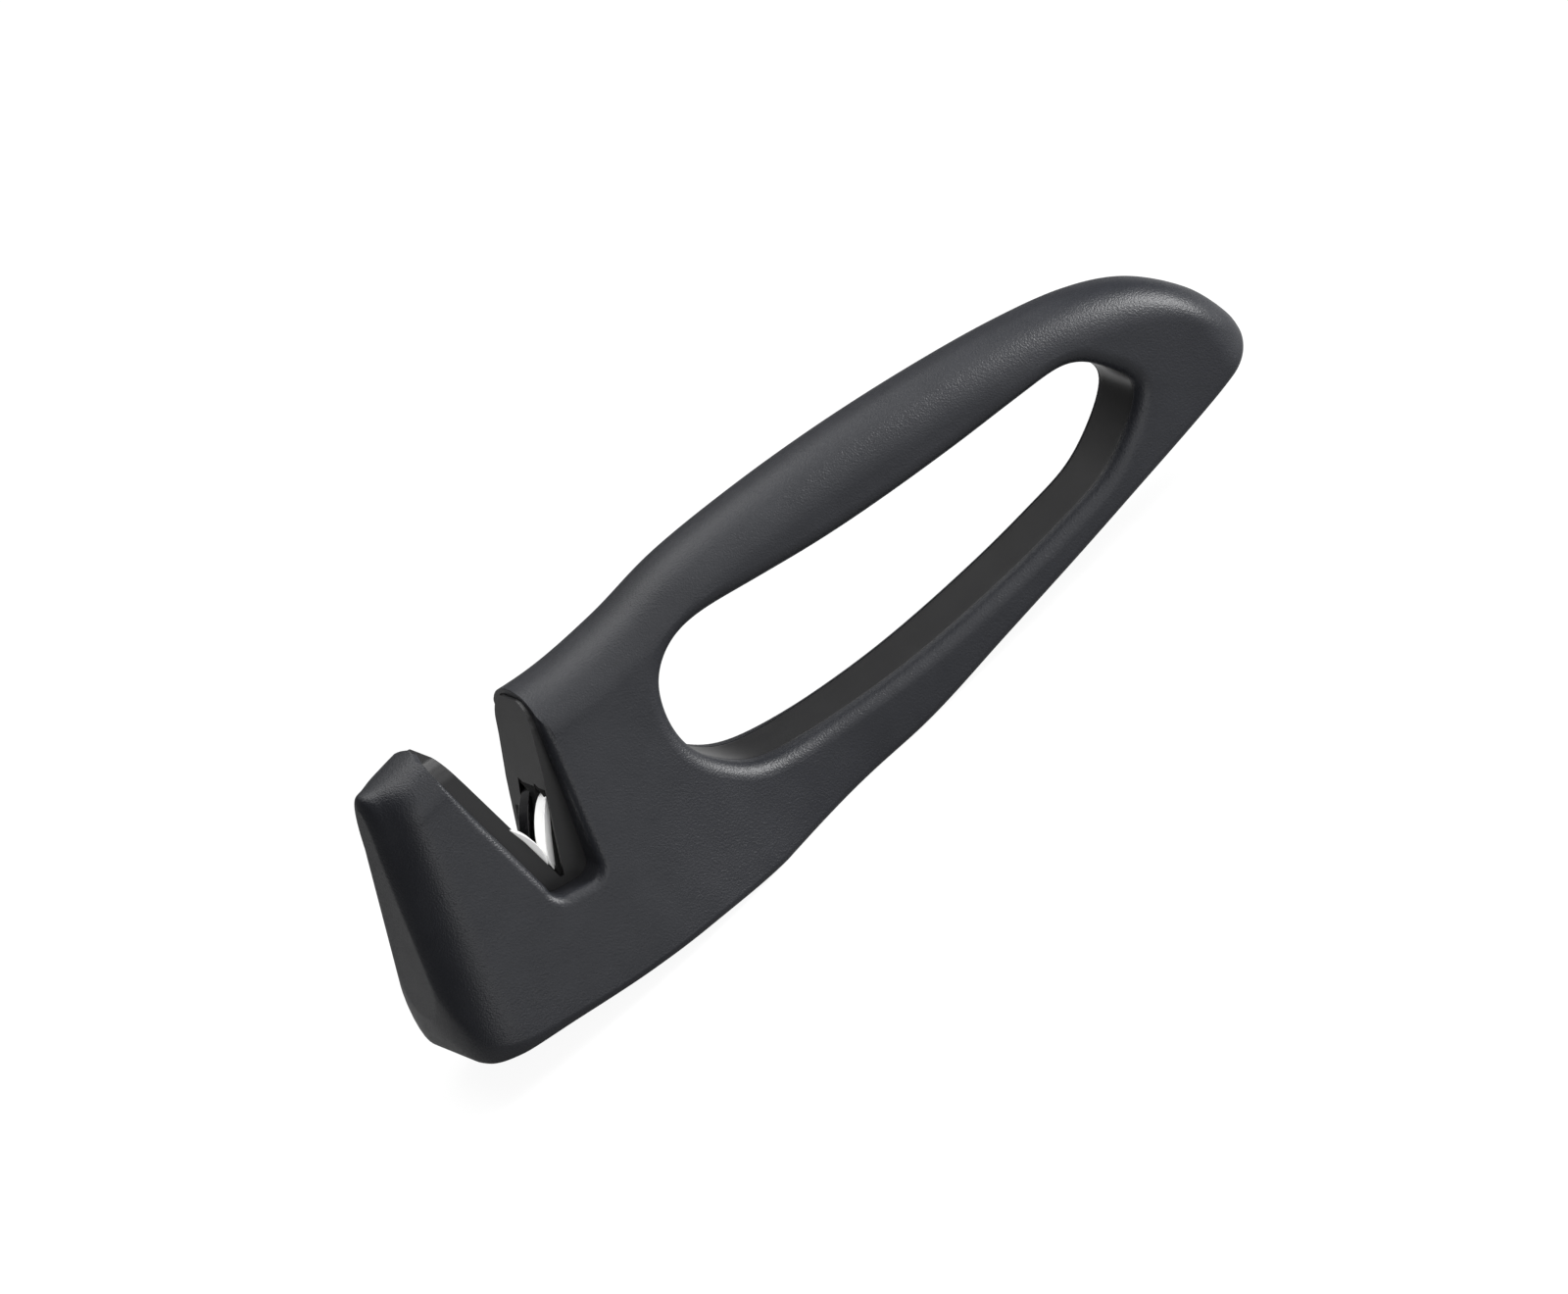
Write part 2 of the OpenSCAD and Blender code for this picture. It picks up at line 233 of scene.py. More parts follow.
def skin(name, rings, closed=False):
    count, n = len(rings), len(rings[0])
    verts = [tuple(c * MM for c in p) for ring in rings for p in ring]
    faces = []
    for i in range(count if closed else count - 1):
        j = (i + 1) % count
        faces += [(i * n + k, i * n + (k + 1) % n, j * n + (k + 1) % n, j * n + k)
                  for k in range(n)]
    if not closed:
        faces += [range(n - 1, -1, -1), range((count - 1) * n, count * n)]
    mesh = bpy.data.meshes.new(name)
    mesh.from_pydata(verts, [], faces)
    face_outwards(mesh)
    obj = bpy.data.objects.new(name, mesh)
    bpy.context.scene.collection.objects.link(obj)
    return obj


print("skin helper ready")

# %% [markdown]
# ## Cutting
# A Boolean modifier takes one solid away from another. The manifold solver is
# fast and exact here because every skin above is closed. The modifier is applied
# at once, so the cutter can be thrown away.


# %% Cut helpers
def cut_away(obj, cutter):
    make_active(obj)
    mod = obj.modifiers.new("cut", "BOOLEAN")
    mod.operation = "DIFFERENCE"
    mod.solver = "MANIFOLD"
    mod.object = cutter
    bpy.ops.object.modifier_apply(modifier=mod.name)


def drop(*objs):
    for o in objs:
        bpy.data.objects.remove(o, do_unlink=True)


print("cut helpers ready")

# %% [markdown]
# ## The front cover
# The real cover is one injection moulding: soft upright edges at the head, a
# generous crown along the top and a small edge along the base. A subdivided
# box would need many hand-set creases to hold these radii, so each section is
# computed from the radii and the sections are skinned. The cover is drawn solid
# here, because its inside is never seen.

# %% Section helpers
rim_steps, side_steps, crown_steps, section_steps = 6, 12, 18, 12
# the crown is fuller than a circle, and its points crowd where it turns most
crown_power, crown_crowding = 0.8, 1.25
# on a short section the edges shrink to these shares of its height
base_edge_share, crown_share = 1 / 3, 0.6
quarter = math.pi / 2


def base_at(u):
    x, z = open_curve(base_shares, u)
    return Vector((x, max(0.0, z)))


def top_at(u):
    return Vector(open_curve(top_shares, u))


def middle_x(u):
    return (base_at(u).x + top_at(u).x) / 2


def rolled(d, r):
    return 0.0 if d >= r else r - math.sqrt(max(0.0, r * r - (r - d) ** 2))


def end_loss(u):
    """How much the upright edges at both ends take off the half thickness."""
    return (rolled(middle_x(u) - middle_x(0), head_edge_r)
            + rolled(middle_x(last_u) - middle_x(u), tail_edge_r))


print("the head's edge takes off", round(end_loss(0), 1), "mm")

# %% [markdown]
# ## One section of the cover
# A section runs from the base over the rounded rim, up the leaning side and over
# the crown to the middle of the top. Its last points lie on the mid-plane, where
# the two covers meet.


# %% Cover sections
def section(u):
    b, t, loss = base_at(u), top_at(u), end_loss(u)
    up, span = (t - b).normalized(), (t - b).length
    corner = smooth_step(1 - u / corner_sections)
    rim = min(base_edge_r + (corner_edge_r - base_edge_r) * corner, span * base_edge_share)
    crown = min(crown_rise, span * crown_share)
    low, high = b + up * rim, t - up * crown
    low_half, high_half = side_half(*low) - loss, side_half(*high) - loss
    ring = [(b.x, 0.0, b.y)]
    for k in range(rim_steps + 1):
        a = quarter * k / rim_steps
        p = b + up * rim * (1 - math.cos(a))
        ring.append((p.x, -(low_half - rim * (1 - math.sin(a))), p.y))
    for k in range(1, side_steps):
        p = low.lerp(high, k / side_steps)
        ring.append((p.x, -(side_half(*p) - loss), p.y))
    for k in range(crown_steps):
        a = quarter * (1 - (1 - k / crown_steps) ** crown_crowding)
        p = high + up * crown * math.sin(a)
        ring.append((p.x, -high_half * math.cos(a) ** crown_power, p.y))
    ring.append((t.x, 0.0, t.y))
    return ring


rows = [section(i / section_steps) for i in range(last_u * section_steps + 1)]
front_cover = skin("front_cover_skin", rows)
print("cover rows", len(rows), "points in a row", len(rows[0]))

# %% [markdown]
# ## Cuts with a rolled rim
# The finger hole and the slot are through cuts whose rim rolls over the side of
# the cover. A bevel on the cut edge would pinch where the side curves, so the
# cutter itself carries the roll: its rings step outwards along a quarter circle
# and stay on the side.

# %% Rolled cutters
roll_steps = 8


def rolled_cutter(name, line, r, fades=None, inner=None):
    fades = fades or [1.0] * len(line)
    rings = [[(x, cut_overrun, z) for x, z in inner or line]]
    for k in range(roll_steps + 1):
        a = quarter * k / roll_steps
        level = r * (1 - math.sin(a))
        rings.append([(x, level * f - side_half(x, z), z)
                      for f, (x, z) in zip(fades, grown(line, r * (1 - math.cos(a)), fades))])
    rings.append([(x, -head_width, z) for x, z in grown(line, r, fades)])
    return skin(name, rings)


hole_cutter = rolled_cutter("hole_cutter", hole_line, hole_lip_r)
cut_away(front_cover, hole_cutter)
print("front cover faces with its finger hole:", len(front_cover.data.polygons))

# %% [markdown]
# ## The slot's mouth
# The blade drops into a slot that leans towards the tail. Its wall on the head's
# side opens much wider than the other one, and less so deep inside than at the
# rim. The floor has round corners, the walls turn outwards at the very top, and
# the rolled rim gets finer on the way up, as in the photograph. Each pair below
# holds one value for the head's side (-1) and one for the tail's side (1).

# %% Slot mouth
slot_lean = math.radians(12)
vertex = at(vertex_share)
mouth_sides = {-1: 3.9, 1: 6.8}
mouth_flares = {-1: math.radians(18.6), 1: math.radians(4.6)}
inner_flares = {-1: math.radians(13.7), 1: math.radians(4.6)}
mouth_floor, mouth_corner_r, mouth_turn_r = 1.0, 3.0, 0.7
mouth_tops = {-1: 32.6, 1: 34.8}
corner_steps, wall_steps = 10, 90
# heights over the slot's vertex between which the rim shrinks, and to what share
fade_low, fade_high, fade_share = 20.0, 31.0, 0.35


def in_slot(u, w):
    """A place in the slot's own plane, u across and w up, as x and z of the side view."""
    return (vertex[0] + u * math.cos(slot_lean) + w * math.sin(slot_lean),
            vertex[1] + w * math.cos(slot_lean) - u * math.sin(slot_lean))


def mouth_wall(side, flare, k):
    w = mouth_corner_r + (height - mouth_corner_r) * k / wall_steps
    out = (w - mouth_corner_r) * math.tan(flare)
    # the walls turn outwards where they meet the top of the body
    turn_w = max(0.0, min(mouth_turn_r, w - mouth_tops[side] + mouth_turn_r))
    out += mouth_turn_r - math.sqrt(mouth_turn_r ** 2 - turn_w ** 2)
    return (side * (mouth_sides[side] + out), w)


def mouth_line(flares):
    r, right, left = mouth_corner_r, mouth_sides[1], mouth_sides[-1]
    turn = [quarter * k / corner_steps for k in range(corner_steps + 1)]
    pts = [mouth_wall(1, flares[1], k) for k in range(wall_steps, 0, -1)]
    pts += [(right - r + r * math.cos(a), r - r * math.sin(a)) for a in turn]
    pts += [(-left + r - r * math.sin(a), r - r * math.cos(a)) for a in turn]
    pts += [mouth_wall(-1, flares[-1], k) for k in range(1, wall_steps + 1)]
    return [in_slot(u, w - mouth_floor) for u, w in pts]


mouth_outline = mouth_line(mouth_flares)
print("slot mouth drawn with", len(mouth_outline), "points")

# %% [markdown]
# ## Cut the slot
# The cutter takes the outline at the rim, the narrower outline at the mid-plane,
# and for each point the share of the rim's roll that is left at its height.

# %% Slot cut
lip_fades = [1 - (1 - fade_share) * clamped((z - vertex[1] - fade_low) / (fade_high - fade_low))
             for x, z in mouth_outline]
mouth_cutter = rolled_cutter("mouth_cutter", mouth_outline, lip_r, lip_fades,
                             mouth_line(inner_flares))
cut_away(front_cover, mouth_cutter)
print("front cover faces after the cuts:", len(front_cover.data.polygons))

# %% [markdown]
# ## The guide block's outline
# The guide block lines the slot, and its ends show as tongues between the two
# covers. Seen along the length, each end has sides that go straight up and then
# lean in, and a top with round corners. The function gives half of that outline,
# grown by some room, so that the block and its seat in the cover come from the
# same values.

# %% Guide block outline
guide_half, guide_drop = 14.6, 6.5
half_t = guide_thickness / 2
# for each end: its rise, then its top corners' radius and reach as shares of half_t
tongue_ends = ((30.9, 0.46, 0.97), (32.2, 0.62, 0.86))
tip_steps = 24


def tongue(room, rise, tip_r_share, reach_share):
    """Half outline of the block seen along the length: (y, w) pairs from the bottom up."""
    tip_r = half_t * tip_r_share
    tip_y, tip_w = half_t * reach_share - tip_r, rise - tip_r
    shoulder_y, shoulder_w = half_t + room, rise / 2 - room
    # the leaning flank is tangent to the corner's circle
    dy, dw = shoulder_y - tip_y, tip_w - shoulder_w
    flank = math.acos((tip_r + room) / math.hypot(dy, dw)) - math.atan2(dw, dy)
    pts = [(shoulder_y, -guide_drop - room), (shoulder_y, shoulder_w)]
    for k in range(tip_steps + 1):
        a = flank + (quarter - flank) * k / tip_steps
        pts.append((tip_y + (tip_r + room) * math.cos(a), tip_w + (tip_r + room) * math.sin(a)))
    return pts


def placed(u, y, w):
    x, z = in_slot(u, w)
    return (x, y, z)


def block(name, room):
    rings = []
    for u, end in zip((-guide_half - room, guide_half + room), tongue_ends):
        half = tongue(room, *end)
        rings.append([placed(u, y, w) for y, w in half]
                     + [placed(u, -y, w) for y, w in reversed(half)])
    return skin(name, rings)


print("points in half a tongue:", len(tongue(0.0, *tongue_ends[0])))

# %% [markdown]
# ## Room for the inner pieces
# The guide block is let into the cover, so the same block, grown by the seat
# clearance, is cut away. The wall of the finger hole belongs to the inner
# frame, so a flat slab round the hole is cut away too.

# %% Cut the seats
slab_depth = 3.0
guide_room = block("guide_room", seat_gap)
slab = skin("band_room", [[(x, y, z) for x, z in grown(hole_line, slab_depth)]
                          for y in (-core_thickness / 2 - seat_gap, cut_overrun)])
cut_away(front_cover, guide_room)
cut_away(front_cover, slab)
drop(hole_cutter, mouth_cutter, guide_room, slab)
print("front cover done:", len(front_cover.data.polygons), "faces")

# %% [markdown]
# ## Smooth shading
# The cuts leave long thin faces beside large ones. Smooth shading by angle
# keeps the lips crisp, and the Weighted Normal modifier lets the large faces
# decide, so the satin surface stays calm right up to the cuts. The back cover
# is the front one mirrored, with its faces flipped to point outwards again.


# %% Shade and mirror the covers
def shade(obj, degrees):
    make_active(obj)
    bpy.ops.object.shade_smooth_by_angle(angle=math.radians(degrees))
    mod = obj.modifiers.new("weights", "WEIGHTED_NORMAL")
    mod.mode = "FACE_AREA"
    mod.keep_sharp = True
    bpy.ops.object.modifier_apply(modifier=mod.name)


def mirrored(obj, name):
    copy = obj.copy()
    copy.data = obj.data.copy()
    copy.name = name
    bpy.context.scene.collection.objects.link(copy)
    for v in copy.data.vertices:
        v.co.y = -v.co.y
    copy.data.flip_normals()
    return copy


back_cover = mirrored(front_cover, "back_cover_skin")
for cover, node in ((front_cover, "front_cover"), (back_cover, "back_cover")):
    shade(cover, degrees=35)
    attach(cover, "housing")
    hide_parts(node)
print("covers:", front_cover.name, back_cover.name)

# %% [markdown]
# ## The band in the finger hole
# Inside the lips runs the smooth wall of the inner frame. A small cross-section
# with softened edges is carried round the hole's outline.

# %% Band
band_depth, band_half = 4.0, core_thickness / 2
wall_places = (-6.0, -3.0, 0.0, 3.0, 6.0)
# how far in from the band's side, and how deep, each point of a soft edge lies
soft_edge = [(0.0, 0.25), (0.07, 0.07), (0.25, 0.0)]
profile = [(-band_half, band_depth)]
profile += [(-band_half + inset, d) for inset, d in soft_edge]
profile += [(y, 0.0) for y in wall_places]
profile += [(band_half - inset, d) for inset, d in reversed(soft_edge)]
profile += [(band_half, band_depth)]
levels = {d: grown(hole_line, d) for _, d in profile}
band = skin("hole_band", [[(levels[d][i][0], y, levels[d][i][1]) for y, d in profile]
                          for i in range(len(hole_line))], closed=True)
shade(band, degrees=30)
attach(band, "housing")
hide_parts("core_frame")
print("band faces:", len(band.data.polygons))

# %% [markdown]
# ## The guide block
# The block is one moulding with the V that leads the blade down to the rollers,
# and a window through its walls for them to reach through. It is skinned from
# the same outline as its seat. The V opens wider on the head's side, as the
# slot's mouth does.

# %% Guide block
v_angles = {-1: math.radians(20.6), 1: math.radians(12.5)}
# the V has a narrow flat floor, whose middle lies here in the slot's plane
v_floor, v_bottom = 0.8, (1.30, 0.59)
# the window runs from a thin post at the front to a little behind the middle
window_top, window_floor, window_back, guide_post = 16.2, -3.4, 1.5, 0.8
window_reach = guide_half + cut_overrun
guide = block("slot_guide_block", 0.0)


def prism(name, outline, y0, y1):
    """A solid drawn in the slot's own plane and carried through the thickness."""
    return skin(name, [[placed(u, y, w) for u, w in outline] for y in (y0, y1)])


def v_side(side, w):
    return (v_bottom[0] + side * (v_floor / 2 + w * math.tan(v_angles[side])), v_bottom[1] + w)


v_cutter = prism("v_cutter", [v_side(-1, 0.0), v_side(1, 0.0),
                              v_side(1, height), v_side(-1, height)],
                 -guide_thickness, guide_thickness)
window = prism("window", [(-window_reach, window_floor), (window_reach, window_floor),
                          (window_reach, window_top), (-window_reach, window_top)],
               guide_post - half_t, window_back)
cut_away(guide, v_cutter)
cut_away(guide, window)
drop(v_cutter, window)
print("guide faces:", len(guide.data.polygons))

# %% [markdown]
# ## The rollers
# Each roller is a small turned cone with a softened rim, so its profile is
# carried round its own axle, as the Spin tool would do. The axle's place and
# direction come from the joint in the frame, so it turns true at every pose.

# %% Rollers
roller_r, roller_small_r, roller_t = 8.3, 5.8, 2.6
axle_r, run_gap, bore_soft, rim_soft = 1.5, 0.05, 0.15, 0.35
turns = 96
slant = (roller_r - roller_small_r) / roller_t
# the softened corners of the two rims, in units of rim_soft
small_rim_shares = [(-1, 0), (-0.35, 0.15), (slant * 0.6, 0.6)]
large_rim_shares = [(-slant, -1), (-0.12, -0.35), (-0.4, -0.06), (-1.2, 0)]
joints = {j["child"]: j for j in frame["joints"]}


def axle_line(node):
    joint = joints[node]
    return Vector(joint["axis"]).normalized(), Vector(joint["pos_m"]) / MM


def round_axle(node, r, h, turn):
    """A point at radius r and height h on the roller's axle, a share of a turn round it."""
    axis, origin = axle_line(node)
    out = Matrix.Rotation(2 * math.pi * turn, 3, axis) @ axis.orthogonal().normalized()
    return tuple(origin + out * r + axis * h)


def roller(node):
    bore = axle_r + run_gap
    outline = [(bore, bore_soft - roller_t), (bore + bore_soft, -roller_t)]
    outline += [(roller_small_r + r * rim_soft, h * rim_soft - roller_t)
                for r, h in small_rim_shares]
    outline += [(roller_r + r * rim_soft, h * rim_soft) for r, h in large_rim_shares]
    outline += [(bore + bore_soft, 0.0), (bore, -bore_soft)]
    obj = skin(node.replace("_roller", "_cone"),
               [[round_axle(node, r, h, k / turns) for r, h in outline] for k in range(turns)],
               closed=True)
    shade(obj, degrees=40)
    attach(obj, node)
    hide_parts(node)
    return obj


rollers = {n: roller(n) for n in joints}
print("rollers:", sorted(rollers))

# %% [markdown]
# ## The axles' pins
# The frame's long steel axles would show as bright ends in the slot, where the
# photograph shows none. So each is shown as a short dark pin that ends inside
# its roller. A pin stays with the housing while the roller turns round it.

# %% Pins
pin_soft, pin_inset, pin_turns = 0.25, 0.1, 48


def pin(node):
    """A short axle pin, a little below both faces of the roller."""
    low, high = pin_inset - roller_t, -pin_inset
    levels = [(axle_r - pin_soft, low), (axle_r, low + pin_soft),
              (axle_r, high - pin_soft), (axle_r - pin_soft, high)]
    obj = skin(node.replace("_roller", "_pin"),
               [[round_axle(node, r, h, k / pin_turns) for k in range(pin_turns)]
                for r, h in levels])
    shade(obj, degrees=30)
    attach(obj, "housing")
    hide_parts(node.replace("_roller", "_axle"))
    return obj


pins = [pin(n) for n in joints]
print("pins:", len(pins))

# %% [markdown]
# ## Pockets behind the windows
# The rollers turn in shallow round pockets, a little larger than themselves.
# The guide's posts are relieved by the same pockets, so they clear the rims. A
# fine bevel comes last and catches light on all the block's edges.

# %% Pockets and finish of the guide
pocket_gap, guide_bevel = 0.3, 0.2
for n in joints:
    axis, origin = axle_line(n)
    bpy.ops.mesh.primitive_cylinder_add(
        vertices=turns, radius=(roller_r + pocket_gap) * MM,
        depth=(roller_t + 2 * pocket_gap) * MM,
        location=(origin - axis * roller_t / 2) * MM,
        rotation=axis.to_track_quat("Z", "Y").to_euler())
    pocket = bpy.context.object
    bpy.ops.object.transform_apply(location=True, rotation=True, scale=True)
    cut_away(guide, pocket)
    drop(pocket)
make_active(guide)
bevel = guide.modifiers.new("edge", "BEVEL")
bevel.width, bevel.segments, bevel.limit_method = guide_bevel * MM, 2, "ANGLE"
bpy.ops.object.modifier_apply(modifier=bevel.name)
shade(guide, degrees=35)
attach(guide, "housing")
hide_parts("slot_guide")
print("guide done:", len(guide.data.polygons), "faces")

# %% [markdown]
# ## Building with nodes
# A finish is a small tree of nodes. By hand one would add each node, type in its
# values and drag the links. These two helpers do the same in one line each, so
# the trees below stay readable.


# %% Node helpers
def set_inputs(node, values):
    for key, value in values.items():
        node.inputs[key].default_value = value


def make_node(tree, kind, values=None, **settings):
    node = tree.nodes.new(kind)
    for key, value in settings.items():
        setattr(node, key, value)
    set_inputs(node, values or {})
    return node


def link(tree, *pairs):
    for start, end in pairs:
        tree.links.new(start, end)


def group(name, inputs, outputs):
    tree = bpy.data.node_groups.new(name, "ShaderNodeTree")
    for label, kind, value in inputs:
        socket = tree.interface.new_socket(label, in_out="INPUT", socket_type=kind)
        if value is not None:
            socket.default_value = value
    for label, kind in outputs:
        tree.interface.new_socket(label, in_out="OUTPUT", socket_type=kind)
    return tree, tree.nodes.new("NodeGroupInput"), tree.nodes.new("NodeGroupOutput")


print("node helpers ready")

# %% [markdown]
# ## The moulded grain
# Moulded plastic has a fine spark-eroded grain, and its gloss changes slowly
# where hands have rubbed it. A fine noise and fine cells make the height of the
# grain, and a coarse noise makes the patches. The group only puts out these two
# masks, so that each material can mix them in its own way.

# %% Grain group
fine_scale, cell_scale, patch_scale = 2600.0, 3400.0, 140.0


def grain_group():
    tree, inp, out = group(
        "moulded_grain",
        [("Vector", "NodeSocketVector", None), ("Scale", "NodeSocketFloat", 1.0)],
        [("Height", "NodeSocketFloat"), ("Patches", "NodeSocketFloat")])
    fine = make_node(tree, "ShaderNodeTexNoise", {"Detail": 3.0})
    cells = make_node(tree, "ShaderNodeTexVoronoi", feature="SMOOTH_F1")
    patches = make_node(tree, "ShaderNodeTexNoise", {"Scale": patch_scale, "Detail": 4.0})
    both = make_node(tree, "ShaderNodeMix", {"Factor": 0.5})
    for texture, scale in ((fine, fine_scale), (cells, cell_scale)):
        times = make_node(tree, "ShaderNodeMath", {1: scale}, operation="MULTIPLY")
        link(tree, (inp.outputs["Scale"], times.inputs[0]),
             (times.outputs[0], texture.inputs["Scale"]),
             (inp.outputs["Vector"], texture.inputs["Vector"]))
    link(tree, (inp.outputs["Vector"], patches.inputs["Vector"]),
         (fine.outputs[0], both.inputs["A"]),
         (cells.outputs["Distance"], both.inputs["B"]),
         (both.outputs["Result"], out.inputs["Height"]),
         (patches.outputs[0], out.inputs["Patches"]))
    return tree


moulded_grain = grain_group()
print("group:", moulded_grain.name)

# %% [markdown]
# ## Worn edges
# Edges that are handled get a little paler. The Bevel node gives a rounded
# normal, and where that turns away from the true normal there is an edge. A
# noise breaks the mask up, because wear is never even.


# %% Edge group
def edge_group():
    tree, inp, out = group(
        "edge_wear",
        [("Radius", "NodeSocketFloat", 0.0006), ("Vector", "NodeSocketVector", None)],
        [("Edge", "NodeSocketFloat")])
    bevel = make_node(tree, "ShaderNodeBevel", samples=4)
    geometry = make_node(tree, "ShaderNodeNewGeometry")
    dot = make_node(tree, "ShaderNodeVectorMath", operation="DOT_PRODUCT")
    turn = make_node(tree, "ShaderNodeMapRange", {"From Min": 1.0, "From Max": 0.82})
    noise = make_node(tree, "ShaderNodeTexNoise", {"Scale": 300.0})
    worn = make_node(tree, "ShaderNodeMath", operation="MULTIPLY")
    link(tree, (inp.outputs["Radius"], bevel.inputs["Radius"]),
         (bevel.outputs["Normal"], dot.inputs[0]),
         (geometry.outputs["Normal"], dot.inputs[1]),
         (dot.outputs["Value"], turn.inputs["Value"]),
         (inp.outputs["Vector"], noise.inputs["Vector"]),
         (turn.outputs["Result"], worn.inputs[0]),
         (noise.outputs[0], worn.inputs[1]),
         (worn.outputs[0], out.inputs["Edge"]))
    return tree


edge_wear = edge_group()
print("group:", edge_wear.name)

# %% [markdown]
# ## The material recipe
# All the materials share one recipe: a colour that shifts slightly with the
# patches and gets paler on worn edges, a roughness around a set value, and the
# grain as a shallow bump. All patterns read Object coordinates, so they stay on
# the pieces when these move.

# %% Material recipe
grain_depth = 0.0002
paler_times, paler_plus = 1.6, 0.01


def dress(name, dark, pale, rough, spread, bump, grain=1.0, metallic=0.0,
          specular=0.5, edge=0.25, coat=0.0, painted_glow=0.0):
    mat = bpy.data.materials.new(name)
    mat.use_nodes = True
    tree = mat.node_tree
    bsdf = tree.nodes["Principled BSDF"]
    # Emission Strength is painted light, which brightens a piece that is no lamp.
    set_inputs(bsdf, {"Metallic": metallic, "Specular IOR Level": specular,
                      "Coat Weight": coat, "Coat Roughness": 0.08,
                      "Emission Color": (1, 1, 1, 1), "Emission Strength": painted_glow})
    paler = tuple(min(1.0, c * paler_times + paler_plus) for c in pale)
    coords = make_node(tree, "ShaderNodeTexCoord")
    grains = make_node(tree, "ShaderNodeGroup", {"Scale": grain}, node_tree=moulded_grain)
    wear = make_node(tree, "ShaderNodeGroup", node_tree=edge_wear)
    tint = make_node(tree, "ShaderNodeMix", {"A": (*dark, 1), "B": (*pale, 1)}, data_type="RGBA")
    strength = make_node(tree, "ShaderNodeMath", {1: edge}, operation="MULTIPLY")
    rubbed = make_node(tree, "ShaderNodeMix", {"B": (*paler, 1)}, data_type="RGBA")
    gloss = make_node(tree, "ShaderNodeMapRange",
                      {"To Min": rough - spread, "To Max": rough + spread})
    relief = make_node(tree, "ShaderNodeBump", {"Strength": bump, "Distance": grain_depth})
    link(tree, (coords.outputs["Object"], grains.inputs["Vector"]),
         (coords.outputs["Object"], wear.inputs["Vector"]),
         (grains.outputs["Patches"], tint.inputs["Factor"]),
         (wear.outputs["Edge"], strength.inputs[0]),
         (strength.outputs[0], rubbed.inputs["Factor"]),
         (tint.outputs["Result"], rubbed.inputs["A"]),
         (rubbed.outputs["Result"], bsdf.inputs["Base Color"]),
         (grains.outputs["Patches"], gloss.inputs["Value"]),
         (gloss.outputs["Result"], bsdf.inputs["Roughness"]),
         (grains.outputs["Height"], relief.inputs["Height"]),
         (relief.outputs["Normal"], bsdf.inputs["Normal"]))
    return mat


print("material recipe ready")

# %% [markdown]
# ## The finishes
# The covers are satin and grained, and the inner mouldings are smoother. The
# front rollers are white ceramic, with a faint painted light: an emission that
# stands in for the light that scatters inside them, and the rear ones a coarser black.
# What only shows deep in the slot is near black, its own black deepened by painted shade, and
# the hidden axles and washers are ground steel.

# %% Finishes
satin = dress("satin_black_cover", (0.0075, 0.0082, 0.0105), (0.0125, 0.0133, 0.0162),
              rough=0.42, spread=0.05, bump=0.6, specular=0.25)
smooth = dress("smooth_inner_frame", (0.006, 0.006, 0.0065), (0.009, 0.009, 0.0095),
               rough=0.36, spread=0.04, bump=0.08, grain=0.6, specular=0.32)
guide_finish = dress("smooth_guide", (0.008, 0.008, 0.0085), (0.011, 0.011, 0.0115),
                     rough=0.33, spread=0.04, bump=0.06, grain=0.6, specular=0.36)
# The white rollers' emission is painted light, brightening them as if lit from inside.
ceramic = dress("white_ceramic_painted_glow", (0.88, 0.88, 0.87), (0.93, 0.93, 0.92),
                rough=0.30, spread=0.05, bump=0.05, grain=0.8, coat=0.2, edge=0.1, painted_glow=0.12)
grit = dress("black_ceramic", (0.006, 0.006, 0.007), (0.012, 0.012, 0.013),
             rough=0.24, spread=0.06, bump=0.12, grain=0.8, coat=0.4)
# Near black: the carriers' own black is made darker still as painted shade, since they only show
# deep in the slot.
carrier_black_and_painted_shade = dress("matt_black_carrier_painted_shade", (0.003, 0.003, 0.003), (0.005, 0.005, 0.005),
                       rough=0.6, spread=0.05, bump=0.05, specular=0.2)
steel = dress("ground_steel", (0.42, 0.43, 0.45), (0.52, 0.53, 0.55),
              rough=0.28, spread=0.06, bump=0.1, metallic=1.0)
dark_steel = dress("blackened_steel", (0.03, 0.03, 0.032), (0.05, 0.05, 0.053),
                   rough=0.4, spread=0.06, bump=0.1, metallic=1.0)
print("materials:", len(bpy.data.materials))

# %% [markdown]
# ## Put the finishes on
# The pieces made above get their materials, and so does every piece of the
# frame, also those that a finer piece stands in for, so that none is left bare.


# %% Put the finishes on
def wear_material(obj, mat):
    obj.data.materials.clear()
    obj.data.materials.append(mat)


def roller_finish(name):
    return ceramic if name.startswith("front") else grit


for o, mat in ((front_cover, satin), (back_cover, satin), (band, smooth),
               (guide, guide_finish)):
    wear_material(o, mat)
for n, o in rollers.items():
    wear_material(o, roller_finish(n))
for o in pins:
    wear_material(o, dark_steel)
for n, o in nodes.items():
    if n.endswith("_axle") or n == "roller_washers":
        wear_material(o, steel)
    elif n.endswith("_carrier"):
        wear_material(o, carrier_black_and_painted_shade)
    elif n.endswith("_cover"):
        wear_material(o, satin)
    elif n.endswith("_roller"):
        wear_material(o, roller_finish(n))
    else:
        wear_material(o, smooth)
print("dressed nodes:", len(nodes))

# %% [markdown]
# ## The set
# The photograph has a plain white ground with a trace of a shadow. The world is
# white to the camera, and dim to everything else, so that it only lifts the
# darkest places.

